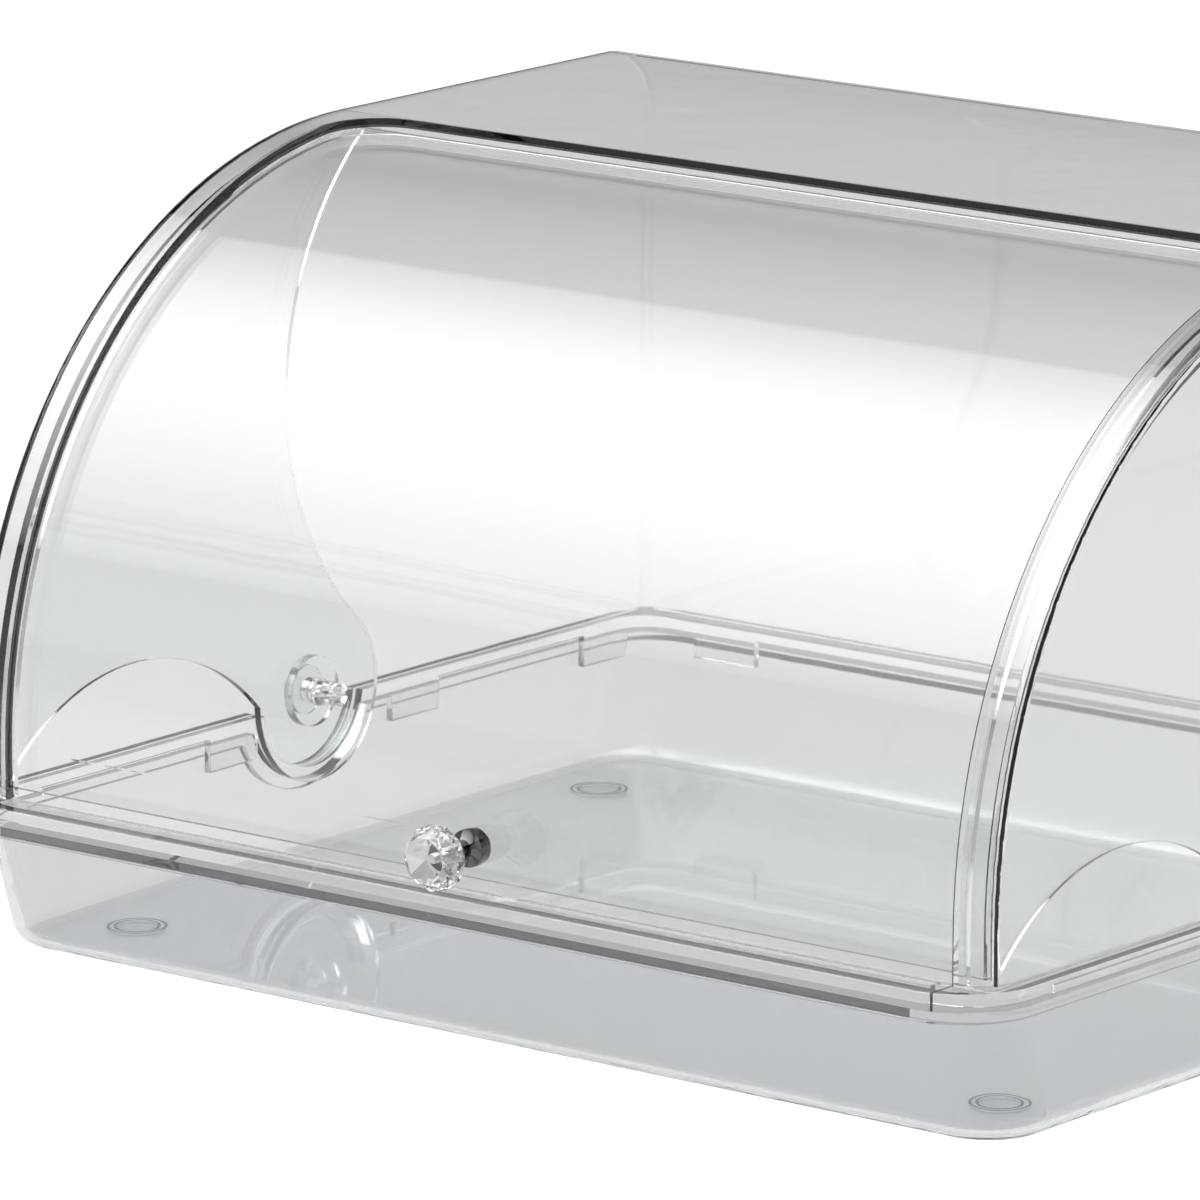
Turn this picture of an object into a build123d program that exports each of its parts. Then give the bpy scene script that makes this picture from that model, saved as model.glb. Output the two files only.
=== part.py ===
from build123d import *
import math
import os

os.makedirs("parts", exist_ok=True)

# Clear bread box in millimetres, +Z up, standing on Z = 0.
# Its front faces -Y and its width runs along X.
# The origin is under the middle of the overall box, knob included.

# Overall sizes, over the rim where the hood sits on the tray
width = 400.0
depth = 350.0
height = 240.0
ring_top = 50.0

# Walls and clearances
wall = 2.5
slip = 0.3
running_fit = 0.05
seat_gap = 0.05
door_side_gap = 2.0
door_bead_gap = 0.5

# Rim: the hood's ring rests on the tray's flange
ring_height = 5.5
flange_height = 3.7
side_lip = 3.0
end_lip = 6.0
front_corner = 25.0
back_corner = 22.0

# Tray
foot_drop = 1.0
tray_side_draft = 0.5
tray_end_draft = 12.0
tray_top_corner = 20.0
tray_bottom_corner = 22.0
tray_bottom_round = 8.0

# Feet
foot_outer = 18.0
foot_inner = 14.0
foot_ring_drop = 0.6
foot_edge_x = 33.5
foot_front_y = 55.0
foot_back_y = 65.0

# Hood
brow_setback = 11.0
arc_radius = 175.5
arc_foot = 14.5
back_round = 25.0
hood_side_lean = 1.5
hood_edge_round = 3.0
opening_side = 18.0
opening_top = 185.0
opening_corner = 20.0
bead_width = 3.2
bead_depth = 5.5

# Locating ribs under the hood's ring
rib_thickness = 2.3
front_slot_start = 40.0
tab_drop = 8.2
end_rib_drop = 6.5
slot_height = 2.3
front_rib_half = 174.0
side_tabs = [(120.0, 143.0), (210.0, 234.0), (309.0, 332.0)]
back_tabs = [(143.0, 168.0)]

# Pivot of the door
pivot_from_front = 169.5
pivot_above_ring = 4.0
dip_inner = 24.5
dip_band = 4.0
flange_band = 3.5
boss_radius = 11.5
pin_radius = 4.0
pin_head_radius = 8.0
pin_head = 1.6
barb_radius = 4.7
barb_length = 3.0
pin_reach = 8.5
pin_slot = 1.6

# Door
door_wall = 2.5
door_lift = 2.0
door_overlap = 10.0
cheek_lobe = 29.0
cheek_waist_y = 88.5
cheek_waist_z = 98.0
arch_rise = 25.5
arch_peak_y = 85.0

# Knob
knob_radius = 10.2
knob_length = 13.0
knob_reach = 8.0
knob_above_ring = 12.3
knob_facets = 12
collar_radius = 6.0
screw_radius = 1.7
screw_reach = 7.0
screw_head_radius = 3.5
screw_head = 2.2

# Levels and edges worked out from the sizes above
seam = ring_top - ring_height
flange_top = seam - seat_gap
flange_bottom = flange_top - flange_height
door_front = brow_setback + bead_depth + door_bead_gap
front = -(depth + knob_reach) / 2 + knob_reach
back = front + depth
hood_half = width / 2 - side_lip
tray_half = width / 2 - side_lip + 0.2
arc_y = front + brow_setback + arc_radius
arc_z = ring_top + arc_foot
pivot_y = front + pivot_from_front
pivot_z = ring_top + pivot_above_ring
ledge_half = hood_half - wall - rib_thickness - slip
cheek_half = hood_half - hood_side_lean - wall - door_side_gap
notch_radius = dip_inner + dip_band + slip
knob_z = ring_top + knob_above_ring
far = width


def rim_outline(half, y_low, y_high, front_radius, back_radius):
    """Rectangle of the rim with its own corner radii in front and behind."""
    with BuildSketch(mode=Mode.PRIVATE) as outline:
        with Locations((0, (y_low + y_high) / 2)):
            Rectangle(2 * half, y_high - y_low)
        corners = outline.vertices().group_by(Axis.Y)
        fillet(corners[0], front_radius)
        fillet(outline.vertices().group_by(Axis.Y)[-1], back_radius)
    return outline.sketch


def height_on_arc(y, radius):
    """Height of a curve of this radius, round the centre of the hood's front, above y."""
    return arc_z + math.sqrt(radius**2 - (y - arc_y) ** 2)


def arc_band(radius, thickness, foot, y_end, half):
    """Side view of a band that follows the hood's front from foot to y_end, at X = -half."""
    inner = radius - thickness
    outer_end = (y_end, height_on_arc(y_end, radius))
    inner_end = (y_end, height_on_arc(y_end, inner))
    with BuildSketch(Plane.YZ.offset(-half), mode=Mode.PRIVATE) as outline:
        with BuildLine():
            Line((arc_y - radius, foot), (arc_y - radius, arc_z))
            RadiusArc((arc_y - radius, arc_z), outer_end, radius)
            Line(outer_end, inner_end)
            RadiusArc(inner_end, (arc_y - inner, arc_z), -inner)
            Line((arc_y - inner, arc_z), (arc_y - inner, foot))
            Line((arc_y - inner, foot), (arc_y - radius, foot))
        make_face()
    return outline.sketch


def hood_outline(inset, foot, half):
    """Side view of the hood, moved inwards by inset, ending at foot and drawn at X = -half."""
    y_front = front + brow_setback + inset
    y_back = back - side_lip - inset
    z_top = height - inset
    bend = back_round - inset
    with BuildSketch(Plane.YZ.offset(-half), mode=Mode.PRIVATE) as outline:
        with BuildLine():
            Line((y_front, foot), (y_front, arc_z))
            RadiusArc((y_front, arc_z), (arc_y, z_top), arc_radius - inset)
            Line((arc_y, z_top), (y_back - bend, z_top))
            RadiusArc((y_back - bend, z_top), (y_back, z_top - bend), bend)
            Line((y_back, z_top - bend), (y_back, foot))
            Line((y_back, foot), (y_front, foot))
        make_face()
    return outline.sketch


def hood_block(inset, foot, edge_round):
    """Solid of the hood's outside, or of its cavity when inset by the wall."""
    low_half = hood_half - inset
    lean = hood_side_lean / (height - ring_top)
    foot_half = low_half + lean * (ring_top - foot)
    top_half = low_half - hood_side_lean
    with BuildPart(mode=Mode.PRIVATE) as block:
        add(hood_outline(inset, foot, far))
        extrude(amount=2 * far, dir=(1, 0, 0))
        with BuildSketch(Plane.XZ.offset(-far)):
            with BuildLine():
                Polyline(
                    (-foot_half, foot),
                    (foot_half, foot),
                    (top_half, height),
                    (-top_half, height),
                    close=True,
                )
            make_face()
        extrude(amount=2 * far, mode=Mode.INTERSECT)
        sides = block.faces().sort_by(Axis.X)
        rim_edges = sides[0].edges() + sides[-1].edges()
        fillet(rim_edges.filter_by_position(Axis.Z, foot + 0.1, height + 1), edge_round)
    return block.part


def tray_block(inset, floor, bottom_round):
    """Solid of the tray's outside, or of its cavity when inset by the wall."""
    top_half = tray_half - inset
    low_half = top_half - tray_side_draft
    y_low = front + end_lip + inset
    y_high = back - end_lip - inset
    with BuildPart(mode=Mode.PRIVATE) as block:
        with BuildSketch(Plane.XY.offset(floor)):
            add(
                rim_outline(
                    low_half,
                    y_low + tray_end_draft,
                    y_high - tray_end_draft,
                    tray_bottom_corner - inset,
                    tray_bottom_corner - inset,
                )
            )
        with BuildSketch(Plane.XY.offset(seam)):
            add(
                rim_outline(
                    top_half, y_low, y_high, tray_top_corner - inset, tray_top_corner - inset
                )
            )
        loft(ruled=True)
        fillet(block.faces().sort_by(Axis.Z)[0].edges(), bottom_round)
    return block.part


def disc_on_side(side, radius, x_inner, x_outer):
    """Cylinder round the pivot's axis on one side, between two distances from the middle."""
    with BuildPart(mode=Mode.PRIVATE) as disc:
        with BuildSketch(Plane.YZ.offset(side * x_inner)):
            with Locations((pivot_y, pivot_z)):
                Circle(radius)
        extrude(amount=side * (x_outer - x_inner))
    return disc.part


def half_space(z_low, z_high):
    """Wide slab that keeps only what lies between two heights."""
    with BuildPart(mode=Mode.PRIVATE) as slab:
        with BuildSketch(Plane.XY.offset(z_low)):
            Rectangle(2 * far, 2 * far)
        extrude(amount=z_high - z_low)
    return slab.part


def dip_ring(side, inner, outer, x_inner, x_outer, z_high):
    """Half ring that follows the dip under the pivot, cut level at the top."""
    with BuildPart(mode=Mode.PRIVATE) as ring:
        add(disc_on_side(side, outer, x_inner, x_outer))
        add(disc_on_side(side, inner, x_inner - 1, x_outer + 1), mode=Mode.SUBTRACT)
        add(half_space(0, z_high), mode=Mode.INTERSECT)
    return ring.part


# Tray: a deep dish with a flange, dipped under each pivot
foot_places = {
    "front_left": (-(width / 2 - foot_edge_x), front + foot_front_y),
    "front_right": (width / 2 - foot_edge_x, front + foot_front_y),
    "back_left": (-(width / 2 - foot_edge_x), back - foot_back_y),
    "back_right": (width / 2 - foot_edge_x, back - foot_back_y),
}
with BuildPart() as tray:
    add(tray_block(0, foot_drop, tray_bottom_round))
    with BuildSketch(Plane.XY.offset(flange_bottom)):
        add(rim_outline(width / 2, front, back, front_corner, back_corner))
    extrude(amount=flange_height)
    add(half_space(flange_top, height), mode=Mode.SUBTRACT)
    add(tray_block(wall, foot_drop + wall, tray_bottom_round - wall), mode=Mode.SUBTRACT)
    for side in (-1, 1):
        add(
            dip_ring(
                side, notch_radius, notch_radius + flange_band, tray_half - wall, width / 2, flange_top
            )
        )
        add(disc_on_side(side, notch_radius, ledge_half - 2, width / 2 + 1), mode=Mode.SUBTRACT)
    with BuildSketch(Plane.XY.offset(foot_drop)):
        with Locations(*foot_places.values()):
            Circle(foot_outer / 2)
            Circle(foot_inner / 2, mode=Mode.SUBTRACT)
    extrude(amount=-foot_ring_drop)
tray.part.label = "base_tray"
export_step(tray.part, "parts/base_tray.step")

# Foot pads: soft clear discs, one seated in each foot ring
for place, (x, y) in foot_places.items():
    with BuildPart() as pad:
        with BuildSketch(Plane.XY):
            with Locations((x, y)):
                Circle(foot_inner / 2 - slip)
        extrude(amount=foot_drop - seat_gap)
        chamfer(pad.faces().sort_by(Axis.Z)[0].edges(), 0.4)
    pad.part.label = "foot_pad_" + place
    export_step(pad.part, "parts/foot_pad_" + place + ".step")


def opening_block(margin):
    """Solid that fills the way in at the front, larger all round by margin."""
    half = width / 2 - opening_side + margin
    with BuildPart(mode=Mode.PRIVATE) as block:
        with BuildSketch(Plane.XY.offset(ring_top)) as outline:
            with Locations((0, front)):
                Rectangle(2 * half, 2 * (opening_top + margin))
            fillet(outline.vertices().group_by(Axis.Y)[-1], opening_corner + margin)
        extrude(amount=height)
    return block.part


# Hood: thin shell over a ring, with a framed opening in front
bead_half = width / 2 - opening_side + bead_width
bead_back = front + opening_top + bead_width
with BuildPart() as bead:
    add(arc_band(arc_radius, bead_depth, ring_top, bead_back, bead_half))
    extrude(amount=2 * bead_half, dir=(1, 0, 0))
bead_band = bead.part
rib_back = end_lip + wall + rib_thickness + slip
rib_slope = tray_end_draft / (seam - foot_drop) * end_rib_drop
ring_inner_front = front + brow_setback + wall
ring_inner_back = back - rib_back - rib_slope
side_slots = [(front_slot_start, side_tabs[0][0]), (side_tabs[1][1], side_tabs[2][0])]
with BuildPart() as ribs:
    for side in (-1, 1):
        for start, stop in side_tabs:
            with BuildSketch(Plane.XY.offset(seam)):
                with Locations((side * (ledge_half + rib_thickness / 2), front + (start + stop) / 2)):
                    Rectangle(rib_thickness, stop - start)
            extrude(amount=-tab_drop)
        for start, stop in back_tabs:
            with BuildSketch(Plane.XY.offset(seam)):
                with Locations((side * (start + stop) / 2, ring_inner_back + rib_thickness / 2)):
                    Rectangle(stop - start, rib_thickness)
            extrude(amount=-end_rib_drop)
    with BuildSketch(Plane.XY.offset(seam)):
        with Locations((0, ring_inner_front - rib_thickness / 2)):
            Rectangle(2 * front_rib_half, rib_thickness)
    extrude(amount=-slot_height)
rib_stock = ribs.part
with BuildPart() as hood:
    add(hood_block(0, ring_top, hood_edge_round))
    add(hood_block(wall, ring_top - 1, hood_edge_round - wall), mode=Mode.SUBTRACT)
    # thicker bead round the opening
    add(bead_band & opening_block(bead_width))
    add(opening_block(0), mode=Mode.SUBTRACT)
    # ring with its inner ledge
    with BuildSketch(Plane.XY.offset(seam)):
        add(rim_outline(width / 2, front, back, front_corner, back_corner))
        add(
            rim_outline(
                ledge_half,
                ring_inner_front,
                ring_inner_back,
                tray_top_corner - rib_back + side_lip,
                tray_top_corner - rib_back + side_lip,
            ),
            mode=Mode.SUBTRACT,
        )
    extrude(amount=ring_height)
    for side in (-1, 1):
        # wall that reaches down to carry the pivot, and the ring's dip round it
        lobe = disc_on_side(side, dip_inner + dip_band, hood_half - wall, hood_half)
        add(lobe & half_space(0, ring_top))
        for x_inner, x_outer in ((hood_half, width / 2 + 1), (ledge_half - 1, hood_half - wall)):
            window = disc_on_side(side, dip_inner, x_inner, x_outer)
            add(window & half_space(0, ring_top), mode=Mode.SUBTRACT)
        add(dip_ring(side, dip_inner, dip_inner + dip_band, ledge_half, width / 2, ring_top))
        # boss that holds the door off the wall
        add(disc_on_side(side, boss_radius, cheek_half + slip, hood_half - wall))
        add(
            disc_on_side(side, pin_radius + running_fit, cheek_half - 1, width / 2),
            mode=Mode.SUBTRACT,
        )
    add(rib_stock & tray_block(wall + slip, foot_drop + wall, tray_bottom_round - wall))
    # shallow slots between the tabs
    for side in (-1, 1):
        for start, stop in side_slots:
            with BuildSketch(Plane.XY.offset(seam)):
                with Locations((side * ledge_half, front + (start + stop) / 2)):
                    Rectangle(2 * rib_thickness, stop - start)
            extrude(amount=slot_height, mode=Mode.SUBTRACT)
    with BuildSketch(Plane.XY.offset(seam)):
        with Locations((0, ring_inner_back)):
            Rectangle(2 * back_tabs[0][0], 2 * rib_thickness)
    extrude(amount=slot_height, mode=Mode.SUBTRACT)
hood.part.label = "hood"
export_step(hood.part, "parts/hood.step")

# Pivot pins: headed, with a split barbed end inside the door's cheek
head_face = hood_half + slip
for side, name in ((-1, "pivot_pin_left"), (1, "pivot_pin_right")):
    cheek_inner = cheek_half - door_wall
    barb_start = cheek_inner - slip
    with BuildPart() as pin:
        add(disc_on_side(side, pin_head_radius, head_face, head_face + pin_head))
        add(disc_on_side(side, pin_radius, cheek_inner - pin_reach, head_face))
        with BuildSketch(Plane.YZ.offset(side * barb_start)):
            with Locations((pivot_y, pivot_z)):
                Circle(barb_radius)
        with BuildSketch(Plane.YZ.offset(side * (barb_start - barb_length))):
            with Locations((pivot_y, pivot_z)):
                Circle(pin_radius)
        loft()
        with BuildSketch(Plane.YZ.offset(side * (cheek_inner - pin_reach))):
            with Locations((pivot_y, pivot_z)):
                Rectangle(pin_slot, 4 * pin_radius)
                Rectangle(4 * pin_radius, pin_slot)
        extrude(amount=side * (pin_reach + door_wall), mode=Mode.SUBTRACT)
    pin.part.label = name
    export_step(pin.part, "parts/" + name + ".step")

# Door: a curved panel with a cheek at each end that hangs on the pivot
door_radius = arc_radius - (door_front - brow_setback)
door_y = front + door_front
door_foot = ring_top + door_lift
door_top_y = front + opening_top + door_overlap
waist_y = pivot_y + cheek_waist_y
waist_z = pivot_z + cheek_waist_z
waist_radius = math.hypot(cheek_waist_y, cheek_waist_z) - cheek_lobe
lobe_rear = Vector(pivot_y, pivot_z) + Vector(cheek_waist_y, cheek_waist_z).normalized() * cheek_lobe
with BuildPart() as door:
    outer_top = (door_top_y, height_on_arc(door_top_y, door_radius))
    add(arc_band(door_radius, door_wall, door_foot, door_top_y, cheek_half))
    extrude(amount=2 * cheek_half, dir=(1, 0, 0))
    for side in (-1, 1):
        rear_z = math.sqrt(waist_radius**2 - (door_top_y - waist_y) ** 2)
        rear_top = (door_top_y, waist_z + rear_z)
        with BuildSketch(Plane.YZ.offset(side * (cheek_half - door_wall))):
            with BuildLine():
                Line((door_y, door_foot), (door_y, arc_z))
                RadiusArc((door_y, arc_z), outer_top, door_radius)
                Line(outer_top, rear_top)
                RadiusArc(rear_top, (lobe_rear.X, lobe_rear.Y), -waist_radius)
                ThreePointArc(
                    (lobe_rear.X, lobe_rear.Y),
                    (pivot_y, pivot_z - cheek_lobe),
                    (pivot_y - cheek_lobe, pivot_z),
                )
                ThreePointArc(
                    (pivot_y - cheek_lobe, pivot_z),
                    (pivot_y - arch_peak_y, pivot_z + arch_rise),
                    (door_y + door_wall, door_foot),
                )
                Line((door_y + door_wall, door_foot), (door_y, door_foot))
            make_face()
        extrude(amount=side * door_wall)
        add(
            disc_on_side(side, pin_radius + running_fit, cheek_half - door_wall - 1, cheek_half + 1),
            mode=Mode.SUBTRACT,
        )
    with BuildSketch(Plane.XZ.offset(1 - door_y)):
        with Locations((0, knob_z)):
            Circle(screw_radius + running_fit)
    extrude(amount=-(door_wall + 2), mode=Mode.SUBTRACT)
door.part.label = "door"
export_step(door.part, "parts/door.step")

# Knob: a faceted crystal, flattened along its axis
ball_front = front - knob_reach
ball_back = ball_front + knob_length
facet_rings = [(0.0, 0.45), (0.17, 0.8), (0.4, 1.0), (0.62, 1.0), (0.86, 0.8), (1.0, 0.5)]
with BuildPart() as knob:
    for along, spread in facet_rings:
        with BuildSketch(Plane.XZ.offset(-(ball_front + along * knob_length))):
            with Locations((0, knob_z)):
                RegularPolygon(spread * knob_radius, knob_facets)
    loft(ruled=True)
    with BuildSketch(Plane.XZ.offset(-ball_back)):
        with Locations((0, knob_z)):
            Circle(screw_radius + running_fit)
    extrude(amount=screw_reach, mode=Mode.SUBTRACT)
knob.part.label = "knob"
export_step(knob.part, "parts/knob.step")

# Collar: turned metal ring between the ball and the door
with BuildPart() as collar:
    with BuildSketch(Plane.XZ.offset(-door_y)):
        with Locations((0, knob_z)):
            Circle(collar_radius)
    with BuildSketch(Plane.XZ.offset(-ball_back)):
        with Locations((0, knob_z)):
            Circle(0.45 * knob_radius)
    loft()
    with BuildSketch(Plane.XZ.offset(-door_y)):
        with Locations((0, knob_z)):
            Circle(screw_radius + running_fit)
    extrude(amount=door_y - ball_back, mode=Mode.SUBTRACT)
collar.part.label = "knob_collar"
export_step(collar.part, "parts/knob_collar.step")

# Screw: pan head inside the door, threaded shank run into the knob
head_front = door_y + door_wall + 0.1
with BuildPart() as screw:
    with BuildSketch(Plane.XZ.offset(-head_front)):
        with Locations((0, knob_z)):
            Circle(screw_head_radius)
    extrude(amount=-screw_head)
    fillet(screw.faces().sort_by(Axis.Y)[-1].edges(), 1.0)
    with BuildSketch(Plane.XZ.offset(-(head_front + screw_head))):
        with Locations((0, knob_z)):
            Rectangle(2 * screw_head_radius, 1.0)
    extrude(amount=1.0, mode=Mode.SUBTRACT)
    with BuildSketch(Plane.XZ.offset(-head_front)):
        with Locations((0, knob_z)):
            Circle(screw_radius)
    extrude(amount=head_front - ball_back + screw_reach - 0.5)
screw.part.label = "knob_screw"
export_step(screw.part, "parts/knob_screw.step")
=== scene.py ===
"""A clear moulded bread box: lift-off hood on a raked tray, curved door with a crystal knob."""

import logging
import math
from dataclasses import dataclass
from enum import Enum

import bpy
import bmesh
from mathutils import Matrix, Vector

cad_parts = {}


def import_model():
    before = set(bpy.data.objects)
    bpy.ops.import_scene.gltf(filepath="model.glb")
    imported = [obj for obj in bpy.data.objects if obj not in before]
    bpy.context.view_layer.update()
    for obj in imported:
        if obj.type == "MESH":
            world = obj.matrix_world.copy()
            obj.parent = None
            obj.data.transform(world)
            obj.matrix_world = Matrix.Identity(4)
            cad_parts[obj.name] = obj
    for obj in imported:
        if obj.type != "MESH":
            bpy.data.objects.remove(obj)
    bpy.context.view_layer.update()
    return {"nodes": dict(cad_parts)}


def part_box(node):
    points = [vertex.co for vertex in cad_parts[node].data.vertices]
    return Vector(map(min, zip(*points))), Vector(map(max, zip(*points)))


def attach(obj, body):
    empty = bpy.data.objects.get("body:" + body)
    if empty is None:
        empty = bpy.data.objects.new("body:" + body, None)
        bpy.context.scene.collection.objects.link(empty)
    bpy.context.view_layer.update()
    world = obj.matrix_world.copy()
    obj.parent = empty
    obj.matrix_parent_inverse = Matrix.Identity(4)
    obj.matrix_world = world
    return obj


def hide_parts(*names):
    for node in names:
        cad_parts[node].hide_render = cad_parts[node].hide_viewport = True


logging.basicConfig(level=logging.INFO, format="%(message)s")
log = logging.getLogger("bread_box")

MM = 0.001
MATH = "ShaderNodeMath"
VECTOR_MATH = "ShaderNodeVectorMath"
WHITE = (1.0, 1.0, 1.0, 1.0)
# How far a shaded point may lie from the face that a mask looks for, in metres.
ON_FACE = 0.0004
# Radius in millimetres under which a turned ring closes to a single point.
POINT_RADIUS = 1e-6


class Ray(Enum):
    """Outputs of the Light Path node that the studio and the plastics answer."""

    CAMERA = "Is Camera Ray"
    GLOSSY = "Is Glossy Ray"
    THROUGH = "Is Transmission Ray"
    SHADOW = "Is Shadow Ray"


def linear(hex_colour: str) -> tuple[float, float, float, float]:
    """Turn an sRGB hex colour into linear values.

    Args:
        hex_colour: Six hex digits, with or without a leading hash.

    Returns:
        Red, green, blue and an alpha of one.
    """
    digits = hex_colour.lstrip("#")
    parts = [int(digits[i : i + 2], 16) / 255 for i in (0, 2, 4)]
    r, g, b = (c / 12.92 if c <= 0.04045 else ((c + 0.055) / 1.055) ** 2.4 for c in parts)
    return r, g, b, 1.0


def add_node(
    tree: bpy.types.NodeTree,
    kind: str,
    links: dict | None = None,
    values: dict | None = None,
    **settings,
) -> bpy.types.Node:
    """Add one node with its settings, socket values and incoming links.

    Args:
        tree: Tree the node goes into.
        kind: Type name of the node.
        links: Input name or index to what feeds it: a socket, or a node for its first output.
        values: Input name or index to its constant value.
        **settings: Attributes set on the node itself.

    Returns:
        The new node.
    """
    node = tree.nodes.new(kind)
    for name, value in settings.items():
        setattr(node, name, value)
    for name, value in (values or {}).items():
        node.inputs[name].default_value = value
    for name, source in (links or {}).items():
        socket = source.outputs[0] if isinstance(source, bpy.types.Node) else source
        tree.links.new(socket, node.inputs[name])
    return node


def fresh_material(name: str) -> tuple[bpy.types.Material, bpy.types.NodeTree]:
    """Make an empty node material and return it with its tree."""
    material = bpy.data.materials.new(name)
    material.use_nodes = True
    material.node_tree.nodes.clear()
    return material, material.node_tree


@dataclass(frozen=True)
class OpeningEdgeShade:
    """A mask that paints shade on the outer edge of the hood's opening, near black.

    The real edge looks dark because it traps light. Here a mask tuned to the photograph
    stands in for that, so the strip stays dark under any lighting.

    Attributes:
        half: Half width of the opening, in metres.
        top: Y of the opening's rear edge.
        corner: Radius of its two rear corners.
        axis_y: Y of the centre of the hood's front curve.
        axis_z: Z of that centre.
        reach: Distance from the centre beyond which the edge is dark.
    """

    half: float = 0.182
    top: float = 0.014
    corner: float = 0.020
    axis_y: float = 0.0155
    axis_z: float = 0.0645
    reach: float = 0.1727

    def mask(self, tree: bpy.types.NodeTree, axes: bpy.types.Node) -> bpy.types.Node:
        """Return a node that gives one on the edge's outer strip and zero elsewhere.

        Args:
            tree: Tree of the material.
            axes: Node that gives X, Y and Z of the shaded point.

        Returns:
            The last node of the mask.
        """
        across = add_node(tree, MATH, {0: axes.outputs["X"]}, operation="ABSOLUTE")
        plan = add_node(tree, "ShaderNodeCombineXYZ", {"X": across, "Y": axes.outputs["Y"]})
        straight = (self.half - self.corner, self.top - self.corner, 0.0)
        past = add_node(tree, VECTOR_MATH, {0: plan}, {1: straight}, operation="SUBTRACT")
        kept = add_node(tree, VECTOR_MATH, {0: past}, {1: (0, 0, 0)}, operation="MAXIMUM")
        away = add_node(tree, VECTOR_MATH, {0: kept}, operation="LENGTH")
        on_edge = add_node(
            tree,
            MATH,
            {0: away.outputs["Value"]},
            {1: self.corner, 2: ON_FACE},
            operation="COMPARE",
        )
        side = add_node(
            tree, "ShaderNodeCombineXYZ", {"Y": axes.outputs["Y"], "Z": axes.outputs["Z"]}
        )
        centre = (0.0, self.axis_y, self.axis_z)
        arm = add_node(tree, VECTOR_MATH, {0: side}, {1: centre}, operation="DISTANCE")
        outer = add_node(
            tree, MATH, {0: arm.outputs["Value"]}, {1: self.reach}, operation="GREATER_THAN"
        )
        return add_node(tree, MATH, {0: on_edge, 1: outer}, operation="MULTIPLY")


@dataclass(frozen=True)
class TrayEdgeShade:
    """A mask that paints shade on the tray's flange face, its rounded hem and round the foot
    rings.

    Like the opening's edge, these are painted shade tuned to the photograph and not an effect of
    light on the form: a shadow under the ring's front overhang on the flange, a lighter shade on
    the hem and dark lines where the foot rings' walls show through the floor.

    Attributes:
        face_y: Y of the flange's front face, in metres.
        half: Half length of its straight run.
        low: Z where the painted shadow band on it starts.
        hem: Z range of the rounded hem under the walls.
        hem_shade_share: How dark the painted shade on the hem is, compared with the flange's
            face.
        foot_x: Distance of the feet from the middle.
        foot_y: Y of the front and of the rear feet.
        ring_radii: Radii of the outer and inner walls of a foot ring.
        line: Half thickness of a painted shade line round a ring.
        floor_top: Z below which the outlines show.
    """

    face_y: float = -0.171
    half: float = 0.175
    low: float = 0.0417
    hem: tuple[float, float] = (0.00115, 0.0045)
    hem_shade_share: float = 0.3
    foot_x: float = 0.1665
    foot_y: tuple[float, float] = (-0.116, 0.114)
    ring_radii: tuple[float, float] = (0.009, 0.007)
    line: float = 0.0005
    floor_top: float = 0.0045

    def flange_shadow_band(self, tree: bpy.types.NodeTree, axes: bpy.types.Node) -> bpy.types.Node:
        """Return a node that gives one on the upper part of the flange's front face, the painted
        shadow.
        """
        straight = add_node(
            tree, MATH, {0: axes.outputs["X"]}, {1: 0.0, 2: self.half}, operation="COMPARE"
        )
        face = add_node(
            tree, MATH, {0: axes.outputs["Y"]}, {1: self.face_y, 2: ON_FACE}, operation="COMPARE"
        )
        strip = add_node(tree, MATH, {0: straight, 1: face}, operation="MULTIPLY")
        upper = add_node(
            tree, MATH, {0: axes.outputs["Z"]}, {1: self.low}, operation="GREATER_THAN"
        )
        return add_node(tree, MATH, {0: strip, 1: upper}, operation="MULTIPLY")

    def hem_shade(self, tree: bpy.types.NodeTree, axes: bpy.types.Node) -> bpy.types.Node:
        """Return a node that gives the share of painted shade on the rounded hem and zero
        elsewhere.
        """
        low, high = self.hem
        within = add_node(
            tree,
            MATH,
            {0: axes.outputs["Z"]},
            {1: (low + high) / 2, 2: (high - low) / 2},
            operation="COMPARE",
        )
        return add_node(tree, MATH, {0: within}, {1: self.hem_shade_share}, operation="MULTIPLY")

    def ring_wall_shade(self, tree: bpy.types.NodeTree, axes: bpy.types.Node) -> bpy.types.Node:
        """Return a node that gives one on the painted shade lines round the foot rings, on the
        floor.
        """
        across = add_node(tree, MATH, {0: axes.outputs["X"]}, operation="ABSOLUTE")
        spot = add_node(tree, "ShaderNodeCombineXYZ", {"X": across, "Y": axes.outputs["Y"]})
        front, rear = (
            add_node(
                tree, VECTOR_MATH, {0: spot}, {1: (self.foot_x, y, 0.0)}, operation="DISTANCE"
            ).outputs["Value"]
            for y in self.foot_y
        )
        nearest = add_node(tree, MATH, {0: front, 1: rear}, operation="MINIMUM")
        outer, inner = (
            add_node(tree, MATH, {0: nearest}, {1: radius, 2: self.line}, operation="COMPARE")
            for radius in self.ring_radii
        )
        rings = add_node(tree, MATH, {0: outer, 1: inner}, operation="MAXIMUM")
        low = add_node(
            tree, MATH, {0: axes.outputs["Z"]}, {1: self.floor_top}, operation="LESS_THAN"
        )
        return add_node(tree, MATH, {0: rings, 1: low}, operation="MULTIPLY")

    def mask(self, tree: bpy.types.NodeTree, axes: bpy.types.Node) -> bpy.types.Node:
        """Return a node that gives one where shade is painted on the flange and round the rings,
        less on the hem and zero elsewhere.

        Args:
            tree: Tree of the material.
            axes: Node that gives X, Y and Z of the shaded point.

        Returns:
            The last node of the mask.
        """
        edges = add_node(
            tree,
            MATH,
            {0: self.flange_shadow_band(tree, axes), 1: self.hem_shade(tree, axes)},
            operation="MAXIMUM",
        )
        return add_node(
            tree, MATH, {0: edges, 1: self.ring_wall_shade(tree, axes)}, operation="MAXIMUM"
        )


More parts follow.
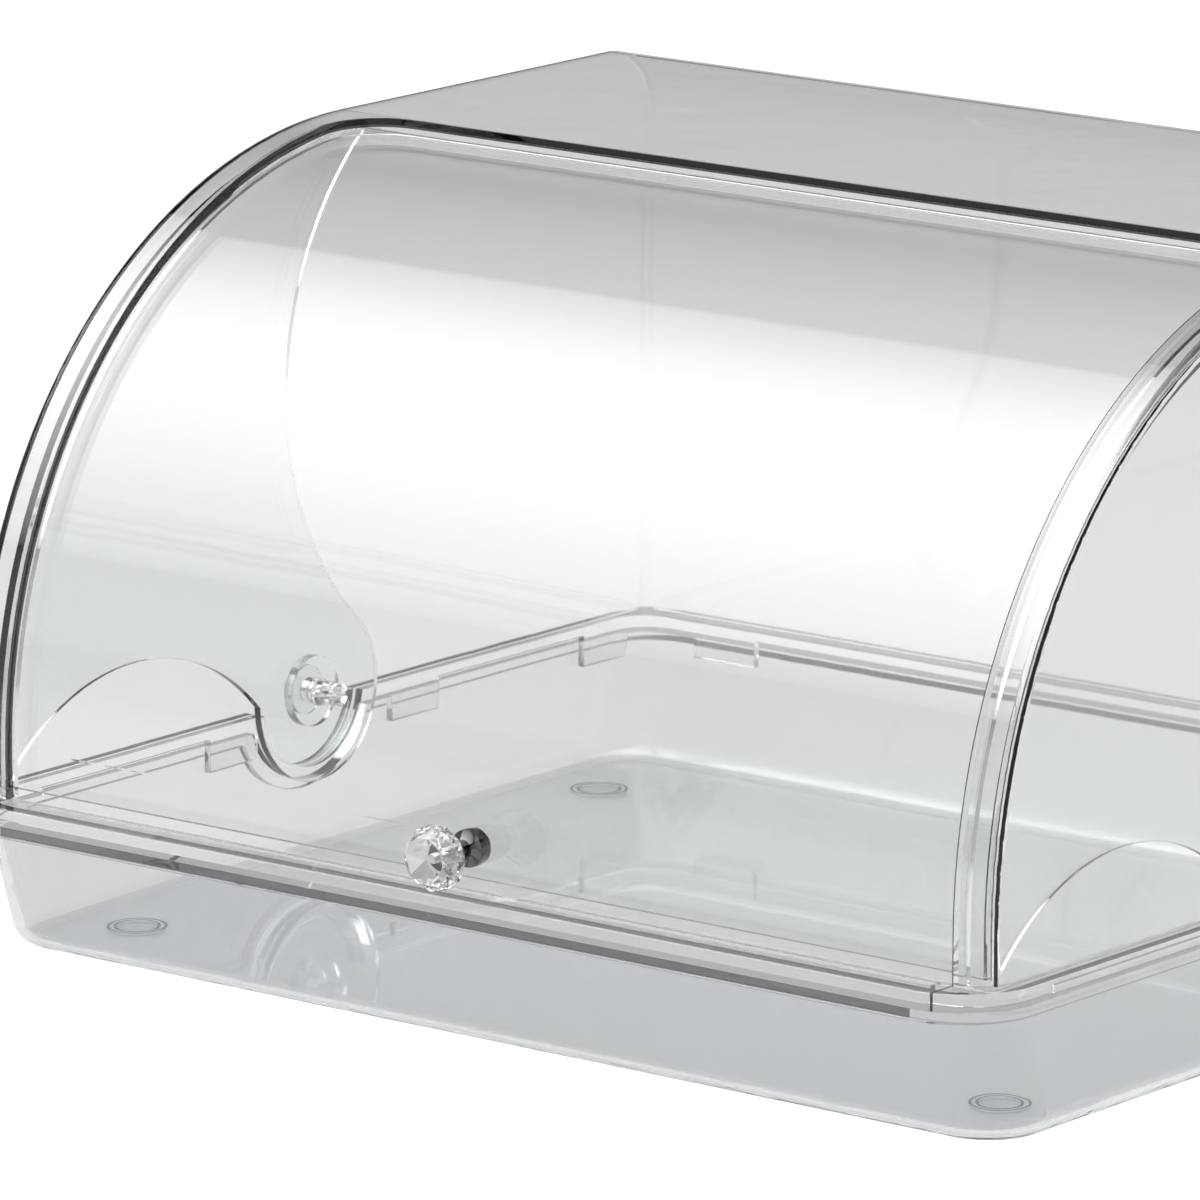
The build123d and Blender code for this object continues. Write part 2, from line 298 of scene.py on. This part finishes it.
@dataclass(frozen=True)
class ClearPlastic:
    """Injection-moulded clear plastic, polished in the mould.

    Attributes:
        name: Name of the material.
        tint: sRGB hex of the light that comes through.
        roughness: Roughness of the polished skin.
        ior: Index of refraction.
        ripple_mm: Wavelength of the flow ripple left by the moulding.
        ripple: Strength of that ripple.
        ripple_detail: Octaves of finer ripple on it.
        ripple_rough: Strength of each octave against the one before.
        ripple_depth: Height that the ripple stands for, in metres.
        edge_mm: Radius that the mould leaves along every edge.
        edge_samples: Rays that find those edges.
        shade: sRGB hex of the light that passes to what is behind.
        edge: Mask of the skin where shade is painted, seen from outside only.
        edge_shade_tint: sRGB hex of that painted shade.
        thin_below: Height in metres under which all light passes straight through.
    """

    name: str
    tint: str = "#f7f8f8"
    roughness: float = 0.02
    ior: float = 1.5
    ripple_mm: float = 28.0
    ripple: float = 0.02
    ripple_detail: float = 1.5
    ripple_rough: float = 0.4
    ripple_depth: float = 0.002
    edge_mm: float = 0.3
    edge_samples: int = 4
    shade: str = "#f2f4f5"
    edge: OpeningEdgeShade | TrayEdgeShade | None = None
    edge_shade_tint: str = "#1b1c1d"
    thin_below: float | None = None

    def skin(self, tree: bpy.types.NodeTree, place: bpy.types.Node) -> bpy.types.Node:
        """Return the shader of the rippled, softly edged skin."""
        wave = add_node(
            tree,
            "ShaderNodeTexNoise",
            {"Vector": place.outputs["Object"]},
            {
                "Scale": 1 / (self.ripple_mm * MM),
                "Detail": self.ripple_detail,
                "Roughness": self.ripple_rough,
            },
        )
        edge = add_node(
            tree,
            "ShaderNodeBevel",
            values={"Radius": self.edge_mm * MM},
            samples=self.edge_samples,
        )
        bump = add_node(
            tree,
            "ShaderNodeBump",
            {"Height": wave.outputs["Fac"], "Normal": edge},
            {"Strength": self.ripple, "Distance": self.ripple_depth},
        )
        return add_node(
            tree,
            "ShaderNodeBsdfPrincipled",
            {"Normal": bump.outputs["Normal"]},
            {
                "Base Color": linear(self.tint),
                "Roughness": self.roughness,
                "IOR": self.ior,
                "Transmission Weight": 1.0,
            },
        )

    def paint_edge_shade(
        self, tree: bpy.types.NodeTree, place: bpy.types.Node, skin: bpy.types.Node
    ) -> None:
        """Paint shade on the masked part of the skin, where it is seen from outside."""
        axes = add_node(tree, "ShaderNodeSeparateXYZ", {0: place.outputs["Object"]})
        spot = add_node(tree, "ShaderNodeNewGeometry")
        outside = add_node(
            tree, MATH, {1: spot.outputs["Backfacing"]}, {0: 1.0}, operation="SUBTRACT"
        )
        seen = add_node(
            tree, MATH, {0: self.edge.mask(tree, axes), 1: outside}, operation="MULTIPLY"
        )
        # Painted shade: the masked skin, seen from outside, takes the dark edge tint in place of
        # its own.
        tone = add_node(
            tree,
            "ShaderNodeMix",
            {0: seen},
            {6: linear(self.tint), 7: linear(self.edge_shade_tint)},
            data_type="RGBA",
        )
        tree.links.new(tone.outputs[2], skin.inputs["Base Color"])

    def build(self) -> bpy.types.Material:
        """Build the node material and return it."""
        material, tree = fresh_material(self.name)
        place = add_node(tree, "ShaderNodeTexCoord")
        skin = self.skin(tree, place)
        if self.edge is not None:
            self.paint_edge_shade(tree, place, skin)
        clear = add_node(tree, "ShaderNodeBsdfTransparent", values={"Color": linear(self.shade)})
        path = add_node(tree, "ShaderNodeLightPath")
        passing = path.outputs[Ray.SHADOW.value]
        if self.thin_below is not None:
            height = add_node(tree, "ShaderNodeSeparateXYZ", {0: place.outputs["Object"]})
            thin = add_node(
                tree, MATH, {0: height.outputs["Z"]}, {1: self.thin_below}, operation="LESS_THAN"
            )
            passing = add_node(tree, MATH, {0: passing, 1: thin}, operation="MAXIMUM")
        mix = add_node(tree, "ShaderNodeMixShader", {0: passing, 1: skin, 2: clear})
        add_node(tree, "ShaderNodeOutputMaterial", {"Surface": mix})
        return material


@dataclass(frozen=True)
class PlatedMetal:
    """Bright plating over turned metal.

    Attributes:
        name: Name of the material.
        colour: sRGB hex of the plating.
        roughness: Roughness of its polish.
    """

    name: str
    colour: str
    roughness: float = 0.15

    def build(self) -> bpy.types.Material:
        """Build the node material and return it."""
        material, tree = fresh_material(self.name)
        skin = add_node(
            tree,
            "ShaderNodeBsdfPrincipled",
            values={
                "Base Color": linear(self.colour),
                "Roughness": self.roughness,
                "Metallic": 1.0,
            },
        )
        add_node(tree, "ShaderNodeOutputMaterial", {"Surface": skin})
        return material


# Clear styrene, injection-moulded: sharp highlights, with a ripple that bends them a little.
STYRENE = ClearPlastic("clear_styrene")
# The same styrene on the hood, with painted shade: the near-black line along the opening's edge.
HOOD_STYRENE = ClearPlastic("clear_styrene_hood", edge=OpeningEdgeShade())
# The same on the tray, greyer, with painted shade: a dark band under the ring's overhang, a
# lighter one on the hem and dark lines round the foot rings. Below thin_below, which is the
# rings under its floor, it passes light straight, so that they leave no dark blots.
TRAY_STYRENE = ClearPlastic(
    "clear_styrene_tray",
    tint="#ecedee",
    edge=TrayEdgeShade(),
    edge_shade_tint="#4c4f51",
    thin_below=0.00095,
)
# Cut acrylic, polished: no ripple and crisp edges, so that each facet flashes on its own.
ACRYLIC = ClearPlastic("cut_acrylic", ior=1.49, ripple=0.0, edge_mm=0.15)
# Soft clear vinyl. The photograph shows the rings and no pad, so thin_below lies above the
# whole pad: it passes light straight and can't be seen.
VINYL = ClearPlastic(
    "soft_clear_vinyl", tint="#fdfdfd", ripple=0.0, shade="#fbfbfb", thin_below=0.1
)
# Chrome plate, its colour darkened as a painted reflection of the dark room: a small dark
# mirror behind the crystal.
DARKENED_CHROME = PlatedMetal("chrome_darkened_for_reflection", "#6a6a6c", 0.12)
# Bright zinc plate: pale, with highlights a little spread.
BRIGHT_ZINC = PlatedMetal("bright_zinc", "#d2d2d4", 0.3)


@dataclass
class Studio:
    """Pale floor, dark room, one soft overhead panel and the camera.

    The floor and the room give the camera, soft light and sharp rays different brightness,
    and the panel is hidden from camera and diffuse rays. That is tuned to one photograph and
    isn't a real room.

    Attributes:
        lens: Focal length in millimetres.
        sensor: Width of the sensor in millimetres.
        clip: Nearest and farthest distance that the camera sees, in metres.
        place: Camera position in metres.
        yaw: Camera heading in degrees from +Y towards -X.
        pitch: Downward tilt of the camera in degrees.
        floor_half: Half width of the floor.
        floor_drop: How far the floor lies under the pads, in millimetres.
        paper: sRGB hex of the floor.
        sweep_near: Distance from the middle where the floor's glow starts to fade.
        sweep_far: Distance where it has faded.
        camera_lift: Glow that the camera sees on the floor.
        glass_lift: Glow that all other rays see on the floor, near the box.
        glass_far: The same, far from it.
        dome: Brightness of the room to soft light.
        dark_room: Brightness overhead to reflected and refracted rays.
        horizon: Brightness low down to the same rays.
        haze: Heights of aim between which the horizon turns to the dark room.
        panel_size: Width and depth of the panel.
        panel_level: Brightness of the panel.
        panel_fall: Place across the panel's depth and share of its brightness there.
        panel_height: Height of the panel.
        panel_back: Y of the panel's rear edge.
        panel_x: X of its middle.
        bounces: Most bounces of a ray, and of one that goes through plastic.
        glossy_bounces: Most reflections of a ray.
    """

    lens: float = 337.8
    sensor: float = 36.0
    clip: tuple[float, float] = (0.05, 60.0)
    place: tuple[float, float, float] = (2.0646, -2.6797, 0.8731)
    yaw: float = 38.616
    pitch: float = 12.708
    floor_half: float = 14.0
    floor_drop: float = 0.2
    paper: str = "#e6e6e6"
    sweep_near: float = 0.5
    sweep_far: float = 2.5
    camera_lift: float = 0.6
    glass_lift: float = 0.4
    glass_far: float = 0.0
    dome: float = 0.65
    dark_room: float = 0.04
    horizon: float = 0.48
    haze: tuple[float, float] = (0.24, 0.5)
    panel_size: tuple[float, float] = (6.0, 5.0)
    panel_level: float = 4.2
    panel_fall: tuple[tuple[float, float], ...] = (
        (0.001, 0.1),
        (0.22, 0.38),
        (0.42, 0.55),
        (0.67, 0.93),
        (0.77, 1.0),
        (0.89, 0.6),
        (0.95, 0.36),
        (0.999, 0.2),
    )
    panel_height: float = 2.2
    panel_back: float = 0.61
    panel_x: float = -1.6
    bounces: int = 32
    glossy_bounces: int = 8

    def camera(self) -> bpy.types.Object:
        """Make the camera at the photograph's viewpoint and return it."""
        data = bpy.data.cameras.new("camera")
        data.lens = self.lens
        data.sensor_width = self.sensor
        data.clip_start, data.clip_end = self.clip
        eye = bpy.data.objects.new("camera", data)
        eye.location = self.place
        eye.rotation_euler = (math.radians(90 - self.pitch), 0.0, math.radians(self.yaw))
        bpy.context.scene.collection.objects.link(eye)
        bpy.context.scene.camera = eye
        return eye

    def floor(self) -> bpy.types.Object:
        """Make the white floor, which other rays see falling off to grey, and return it."""
        mesh = bpy.data.meshes.new("floor")
        r = self.floor_half
        z = -self.floor_drop * MM
        mesh.from_pydata([(-r, -r, z), (r, -r, z), (r, r, z), (-r, r, z)], [], [(0, 1, 2, 3)])
        slab = bpy.data.objects.new("floor", mesh)
        bpy.context.scene.collection.objects.link(slab)
        material, tree = fresh_material("white_paper_sweep")
        path = add_node(tree, "ShaderNodeLightPath")
        place = add_node(tree, "ShaderNodeTexCoord")
        reach = add_node(tree, VECTOR_MATH, {0: place.outputs["Object"]}, operation="LENGTH")
        fade = add_node(
            tree,
            "ShaderNodeMapRange",
            {"Value": reach.outputs["Value"]},
            {
                "From Min": self.sweep_near,
                "From Max": self.sweep_far,
                "To Min": self.glass_lift,
                "To Max": self.glass_far,
            },
            interpolation_type="SMOOTHSTEP",
        )
        lift = add_node(
            tree,
            "ShaderNodeMix",
            {0: path.outputs[Ray.CAMERA.value], 2: fade.outputs["Result"]},
            {3: self.camera_lift},
            data_type="FLOAT",
        )
        body = add_node(tree, "ShaderNodeBsdfDiffuse", values={"Color": linear(self.paper)})
        glow = add_node(tree, "ShaderNodeEmission", {"Strength": lift}, {"Color": WHITE})
        both = add_node(tree, "ShaderNodeAddShader", {0: body, 1: glow})
        add_node(tree, "ShaderNodeOutputMaterial", {"Surface": both})
        mesh.materials.append(material)
        return slab

    def room(self) -> None:
        """Set the world: white to the camera, soft to the floor and dark to glass and metal."""
        world = bpy.data.worlds.new("studio_room")
        bpy.context.scene.world = world
        world.use_nodes = True
        tree = world.node_tree
        tree.nodes.clear()
        path = add_node(tree, "ShaderNodeLightPath")
        aim = add_node(tree, "ShaderNodeTexCoord")
        axes = add_node(tree, "ShaderNodeSeparateXYZ", {0: aim.outputs["Generated"]})
        low, high = self.haze
        haze = add_node(
            tree,
            "ShaderNodeMapRange",
            {"Value": axes.outputs["Z"]},
            {
                "From Min": low,
                "From Max": high,
                "To Min": self.horizon,
                "To Max": self.dark_room,
            },
            interpolation_type="SMOOTHSTEP",
        )
        sharp = add_node(
            tree,
            MATH,
            {0: path.outputs[Ray.GLOSSY.value], 1: path.outputs[Ray.THROUGH.value]},
            operation="MAXIMUM",
        )
        soft = add_node(
            tree,
            "ShaderNodeMix",
            {0: sharp, 3: haze.outputs["Result"]},
            {2: self.dome},
            data_type="FLOAT",
        )
        level = add_node(
            tree,
            "ShaderNodeMix",
            {0: path.outputs[Ray.CAMERA.value], 2: soft},
            {3: 1.0},
            data_type="FLOAT",
        )
        sky = add_node(tree, "ShaderNodeBackground", {"Strength": level}, {"Color": WHITE})
        add_node(tree, "ShaderNodeOutputWorld", {"Surface": sky})

    def panel(self) -> bpy.types.Object:
        """Hang the soft overhead panel whose reflection lies on the door, and return it."""
        data = bpy.data.lights.new("soft_panel", "AREA")
        data.shape = "RECTANGLE"
        data.size = self.panel_size[0]
        data.size_y = self.panel_size[1]
        data.energy = self.panel_level * math.pi * self.panel_size[0] * self.panel_size[1]
        data.use_nodes = True
        tree = data.node_tree
        tree.nodes.clear()
        spot = add_node(tree, "ShaderNodeNewGeometry")
        axes = add_node(tree, "ShaderNodeSeparateXYZ", {0: spot.outputs["Parametric"]})
        fade = add_node(tree, "ShaderNodeValToRGB", {0: axes.outputs["Y"]})
        ramp = fade.color_ramp
        for place, level in self.panel_fall:
            stop = ramp.elements.new(place)
            stop.color = (level, level, level, 1.0)
        ramp.elements.remove(ramp.elements[0])
        ramp.elements.remove(ramp.elements[-1])
        glow = add_node(tree, "ShaderNodeEmission", {"Strength": fade.outputs["Color"]})
        add_node(tree, "ShaderNodeOutputLight", {"Surface": glow})
        lamp = bpy.data.objects.new("soft_panel", data)
        lamp.location = (
            self.panel_x,
            self.panel_back - self.panel_size[1] / 2,
            self.panel_height,
        )
        lamp.visible_camera = False
        lamp.visible_diffuse = False
        bpy.context.scene.collection.objects.link(lamp)
        return lamp

    def quality(self) -> None:
        """Set the view transform and let rays pass all the clear walls."""
        scene = bpy.context.scene
        scene.view_settings.view_transform = "Standard"
        scene.cycles.max_bounces = self.bounces
        scene.cycles.transmission_bounces = self.bounces
        scene.cycles.glossy_bounces = self.glossy_bounces
        scene.cycles.transparent_max_bounces = self.bounces

    def build(self) -> None:
        """Build the whole studio."""
        self.camera()
        self.floor()
        self.room()
        self.panel()
        self.quality()


def mesh_piece(name: str, mesh: bpy.types.Mesh) -> bpy.types.Object:
    """Link a mesh into the scene as an object at the origin and return it."""
    piece = bpy.data.objects.new(name, mesh)
    bpy.context.scene.collection.objects.link(piece)
    return piece


def turned(
    name: str, profile: list[tuple[float, float]], centre: Vector, axis: str, steps: int
) -> bpy.types.Mesh:
    """Turn a profile round an axis into a closed mesh.

    Args:
        name: Name of the mesh.
        profile: Pairs of radius and distance along the axis, in millimetres.
        centre: Point that the distances start from, in metres.
        axis: "Y" or "Z".
        steps: Number of sides round the form.

    Returns:
        The finished mesh.
    """
    form = bmesh.new()
    rings = []
    for radius, along in profile:
        ring = []
        count = steps if radius > POINT_RADIUS else 1
        for k in range(count):
            a = 2 * math.pi * k / steps
            u, v, w = radius * MM * math.cos(a), radius * MM * math.sin(a), along * MM
            point = Vector((u, w, v)) if axis == "Y" else Vector((u, v, w))
            ring.append(form.verts.new(centre + point))
        rings.append(ring)
    for low, high in zip(rings, rings[1:]):
        for k in range(steps):
            a, b = low[k % len(low)], low[(k + 1) % len(low)]
            c, d = high[(k + 1) % len(high)], high[k % len(high)]
            corners = list(dict.fromkeys((a, b, c, d)))
            if len(corners) > 2:
                form.faces.new(corners)
    bmesh.ops.recalc_face_normals(form, faces=form.faces)
    mesh = bpy.data.meshes.new(name)
    form.to_mesh(mesh)
    form.free()
    return mesh


def smooth_by_angle(mesh: bpy.types.Mesh, degrees: float) -> None:
    """Shade a mesh smooth except across edges sharper than an angle."""
    mesh.shade_smooth()
    mesh.set_sharp_from_angle(angle=math.radians(degrees))


class GrownPiece:
    """A Geometry Nodes tree with named inputs that is turned into a plain mesh."""

    def __init__(self, name: str, sizes: dict[str, float]) -> None:
        """Start a tree whose float inputs have the given names and values."""
        self.sizes = sizes
        self.tree = bpy.data.node_groups.new(name, "GeometryNodeTree")
        face = self.tree.interface
        face.new_socket("Geometry", in_out="INPUT", socket_type="NodeSocketGeometry")
        self.keys = {
            size: face.new_socket(size, in_out="INPUT", socket_type="NodeSocketFloat").identifier
            for size in sizes
        }
        face.new_socket("Geometry", in_out="OUTPUT", socket_type="NodeSocketGeometry")
        self.source = add_node(self.tree, "NodeGroupInput")

    def size(self, name: str) -> bpy.types.NodeSocket:
        """Return the group input socket of one size."""
        return self.source.outputs[name]

    def grow(
        self, base: bpy.types.Object, end: bpy.types.Node, material: bpy.types.Material
    ) -> bpy.types.Object:
        """Close the tree, evaluate it on a base object and return the plain mesh piece.

        Args:
            base: Object that carries the starting geometry.
            end: Node whose geometry the tree ends on.
            material: Material the result is dressed in.

        Returns:
            The base object with the grown mesh and no modifier.
        """
        solid = add_node(self.tree, "GeometryNodeRealizeInstances", {0: end})
        dressed = add_node(
            self.tree, "GeometryNodeSetMaterial", {"Geometry": solid}, {"Material": material}
        )
        add_node(self.tree, "NodeGroupOutput", {0: dressed})
        modifier = base.modifiers.new("grow", "NODES")
        modifier.node_group = self.tree
        for name, key in self.keys.items():
            modifier[key] = self.sizes[name]
        graph = bpy.context.evaluated_depsgraph_get()
        mesh = bpy.data.meshes.new_from_object(base.evaluated_get(graph))
        mesh.name = base.name
        base.modifiers.clear()
        base.data = mesh
        return base


@dataclass
class Feet:
    """Four soft clear pads seated in the moulded rings under the tray.

    Attributes:
        radius: Radius of a pad, in millimetres.
        rim: Inset from that radius and height of each point on the pad's side, going up.
        spread_x: Distance between the left and the right pads.
        spread_y: Distance between the front and the rear pads.
        centre_y: Y of the middle between them.
        steps: Sides round a pad.
        crease: Angle in degrees beyond which an edge stays sharp.
    """

    radius: float = 6.6
    rim: tuple[tuple[float, float], ...] = (
        (0.5, 0.0),
        (0.1, 0.15),
        (0.0, 0.4),
        (0.0, 0.7),
        (0.2, 0.9),
    )
    spread_x: float = 333.0
    spread_y: float = 230.0
    centre_y: float = -1.0
    steps: int = 40
    crease: float = 50.0

    def build(self, material: bpy.types.Material) -> bpy.types.Object:
        """Make the four pads as one piece and return it."""
        side = [(self.radius - inset, height) for inset, height in self.rim]
        profile = [(0.0, side[0][1]), *side, (0.0, side[-1][1])]
        pad = mesh_piece("foot_pads", turned("foot_pads", profile, Vector(), "Z", self.steps))
        smooth_by_angle(pad.data, self.crease)
        grown = GrownPiece(
            "pads_on_corners",
            {
                "Spread X": self.spread_x * MM,
                "Spread Y": self.spread_y * MM,
                "Centre Y": self.centre_y * MM,
            },
        )
        tree = grown.tree
        grid = add_node(
            tree,
            "GeometryNodeMeshGrid",
            {"Size X": grown.size("Spread X"), "Size Y": grown.size("Spread Y")},
            {"Vertices X": 2, "Vertices Y": 2},
        )
        shift = add_node(tree, "ShaderNodeCombineXYZ", {"Y": grown.size("Centre Y")})
        corners = add_node(
            tree,
            "GeometryNodeSetPosition",
            {"Geometry": grid.outputs["Mesh"], "Offset": shift},
        )
        placed = add_node(
            tree,
            "GeometryNodeInstanceOnPoints",
            {"Points": corners, "Instance": grown.source.outputs["Geometry"]},
        )
        piece = grown.grow(pad, placed, material)
        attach(piece, "base")
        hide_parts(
            "foot_pad_front_left",
            "foot_pad_front_right",
            "foot_pad_back_left",
            "foot_pad_back_right",
        )
        log.info("foot pads: %d faces", len(piece.data.polygons))
        return piece


@dataclass
class Pull:
    """Cut crystal knob, its turned collar and the screw that holds them to the door.

    Attributes:
        radius: Radius of the crystal at its girdle, in millimetres.
        sides: Facets round the girdle.
        rings: Share of the radius and distance along the axis of each facet ring.
        collar: Radius and distance along the axis of the collar's profile.
        collar_steps: Sides round the collar.
        head: Radius and distance along the axis of the screw's profile.
        head_steps: Sides round the screw.
        pitch: Distance between the turns of the screw's thread.
        turns: Number of those turns.
        core: Radius of the line that the thread follows.
        crest: Radius of the thread's ridge.
        ridge_sides: Sides of that ridge.
        turn_steps: Points on each turn.
        thread_start: Distance from the screw's tip to the first turn.
        crease: Angle in degrees beyond which an edge of the collar or screw stays sharp.
    """

    radius: float = 10.15
    sides: int = 10
    rings: tuple[tuple[float, float], ...] = (
        (0.72, -6.45),
        (1.0, -2.4),
        (1.0, 0.8),
        (0.52, 6.4),
    )
    collar: tuple[tuple[float, float], ...] = (
        (0.0, 6.5),
        (4.0, 6.5),
        (4.5, 7.0),
        (4.4, 8.2),
        (3.2, 9.6),
        (3.1, 12.2),
        (4.2, 13.2),
        (5.8, 13.9),
        (5.9, 14.5),
        (5.9, 16.6),
        (5.6, 17.5),
        (5.6, 18.45),
        (0.0, 18.45),
    )
    collar_steps: int = 64
    head: tuple[tuple[float, float], ...] = (
        (0.0, 0.5),
        (1.2, 0.6),
        (1.35, 1.6),
        (1.35, 21.1),
        (3.4, 21.15),
        (3.45, 22.3),
        (2.9, 23.0),
        (1.8, 23.25),
        (0.0, 23.27),
    )
    head_steps: int = 40
    pitch: float = 0.8
    turns: int = 22
    core: float = 1.36
    crest: float = 0.28
    ridge_sides: int = 4
    turn_steps: int = 20
    thread_start: float = 1.2
    crease: float = 40.0

    def centre(self) -> Vector:
        """Return the middle of the knob."""
        low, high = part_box("knob")
        return (Vector(low) + Vector(high)) / 2

    def crystal(self, material: bpy.types.Material) -> bpy.types.Object:
        """Cut the crystal with staggered rings of flat facets and return it."""
        centre = self.centre()
        form = bmesh.new()
        rows = []
        for step, (share, along) in enumerate(self.rings):
            row = []
            for k in range(self.sides):
                a = 2 * math.pi * (k + 0.5 * (step % 2)) / self.sides
                r = share * self.radius * MM
                point = Vector((r * math.cos(a), along * MM, r * math.sin(a)))
                row.append(form.verts.new(centre + point))
            rows.append(row)
        form.faces.new(rows[0])
        form.faces.new(rows[-1])
        for step, (low, high) in enumerate(zip(rows, rows[1:])):
            turn = step % 2
            for k in range(self.sides):
                n = (k + 1) % self.sides
                form.faces.new((low[k], low[n], high[n] if turn else high[k]))
                form.faces.new((high[k], high[n], low[k] if turn else low[n]))
        bmesh.ops.recalc_face_normals(form, faces=form.faces)
        mesh = bpy.data.meshes.new("crystal_knob")
        form.to_mesh(mesh)
        form.free()
        mesh.materials.append(material)
        piece = mesh_piece("crystal_knob", mesh)
        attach(piece, "door")
        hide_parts("knob")
        return piece

    def ferrule(self, material: bpy.types.Material) -> bpy.types.Object:
        """Turn the collar between the crystal and the door and return it."""
        mesh = turned("turned_collar", list(self.collar), self.centre(), "Y", self.collar_steps)
        smooth_by_angle(mesh, self.crease)
        mesh.materials.append(material)
        piece = mesh_piece("turned_collar", mesh)
        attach(piece, "door")
        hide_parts("knob_collar")
        return piece

    def fixing(self, material: bpy.types.Material) -> bpy.types.Object:
        """Turn the screw, wind its thread on with Geometry Nodes and return it."""
        low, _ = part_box("knob_screw")
        centre = self.centre()
        start = Vector((centre.x, low[1], centre.z))
        shank = turned("threaded_screw", list(self.head), start, "Y", self.head_steps)
        body = mesh_piece("threaded_screw", shank)
        smooth_by_angle(body.data, self.crease)
        grown = GrownPiece(
            "thread",
            {"Pitch": self.pitch * MM, "Crest": self.crest * MM, "Core": self.core * MM},
        )
        tree = grown.tree
        length = add_node(
            tree, MATH, {0: grown.size("Pitch")}, {1: self.turns}, operation="MULTIPLY"
        )
        winding = add_node(
            tree,
            "GeometryNodeCurveSpiral",
            {
                "Start Radius": grown.size("Core"),
                "End Radius": grown.size("Core"),
                "Height": length,
            },
            {"Resolution": self.turn_steps, "Rotations": self.turns},
        )
        laid = add_node(
            tree,
            "GeometryNodeTransform",
            {"Geometry": winding},
            {
                "Translation": start + Vector((0.0, self.thread_start * MM, 0.0)),
                "Rotation": (math.radians(-90), 0.0, 0.0),
            },
        )
        ridge = add_node(
            tree,
            "GeometryNodeCurvePrimitiveCircle",
            {"Radius": grown.size("Crest")},
            {"Resolution": self.ridge_sides},
        )
        wound = add_node(
            tree,
            "GeometryNodeCurveToMesh",
            {"Curve": laid, "Profile Curve": ridge},
            {"Fill Caps": True},
        )
        whole = add_node(tree, "GeometryNodeJoinGeometry", {0: wound})
        tree.links.new(grown.source.outputs["Geometry"], whole.inputs[0])
        piece = grown.grow(body, whole, material)
        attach(piece, "door")
        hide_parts("knob_screw")
        return piece

    def build(
        self, crystal: bpy.types.Material, metal: bpy.types.Material, plated: bpy.types.Material
    ) -> None:
        """Build the knob, its collar and its screw.

        Args:
            crystal: Material of the knob.
            metal: Material of the collar.
            plated: Material of the screw.
        """
        self.crystal(crystal)
        log.info("knob: %d sides", self.sides)
        self.ferrule(metal)
        log.info("collar: %d rings", len(self.collar))
        screw = self.fixing(plated)
        log.info("screw: %d turns, %d faces", self.turns, len(screw.data.polygons))


def dress(nodes: dict[str, bpy.types.Object]) -> None:
    """Give each CAD piece its styrene: the hood and the tray their own, the rest the plain one.

    Args:
        nodes: Name of each CAD piece to its object.
    """
    plain = STYRENE.build()
    own = {"hood": HOOD_STYRENE.build(), "base_tray": TRAY_STYRENE.build()}
    for name, node in nodes.items():
        material = own.get(name, plain)
        node.data.materials.clear()
        node.data.materials.append(material)
        log.info("%s: %s", name, material.name)


def main() -> None:
    """Build the pieces in order."""
    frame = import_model()
    Studio().build()
    dress(frame["nodes"])
    crystal = ACRYLIC.build()
    Feet().build(VINYL.build())
    Pull().build(crystal, DARKENED_CHROME.build(), BRIGHT_ZINC.build())


if __name__ == "__main__":
    main()
